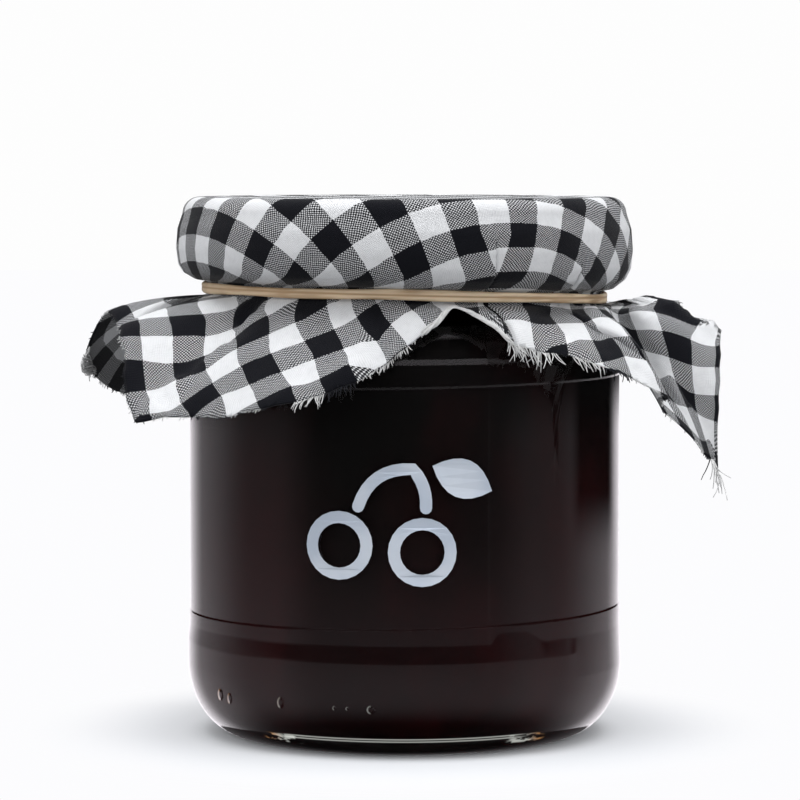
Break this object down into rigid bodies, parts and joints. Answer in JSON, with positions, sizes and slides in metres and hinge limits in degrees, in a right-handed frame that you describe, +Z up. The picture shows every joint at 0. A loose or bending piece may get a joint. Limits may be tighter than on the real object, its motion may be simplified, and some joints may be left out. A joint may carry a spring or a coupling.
{
  "type": "jam jar",
  "caption": "Glass jar of dark jam with a twist-off lid under a gathered gingham cloth held by a rubber band.",
  "frame": {"origin": "centre of the bounding box at its base, on the jar's axis in the plane of its bearing ring", "axes": "+Z up along the jar's axis, -Y towards the printed front, +X to the right of the front"},
  "size_m": [0.1291, 0.1051, 0.1069],
  "materials": {
    "glass": "clear, smooth, moulded",
    "jam": "very dark red jam, glossy",
    "lid": "satin enamel, under the cloth",
    "cloth": "black and white cotton gingham with cut, frayed edges",
    "band": "tan, matt",
    "print": "pale blue-white screen print"
  },
  "bodies": {
    "root": {"jar": "glass", "jam": "jam", "lid": "lid", "cloth_cover": "cloth", "rubber_band": "band", "print_cherry_left": "print", "print_cherry_right": "print", "print_stems": "print", "print_leaf": "print"}
  },
  "joints": []
}
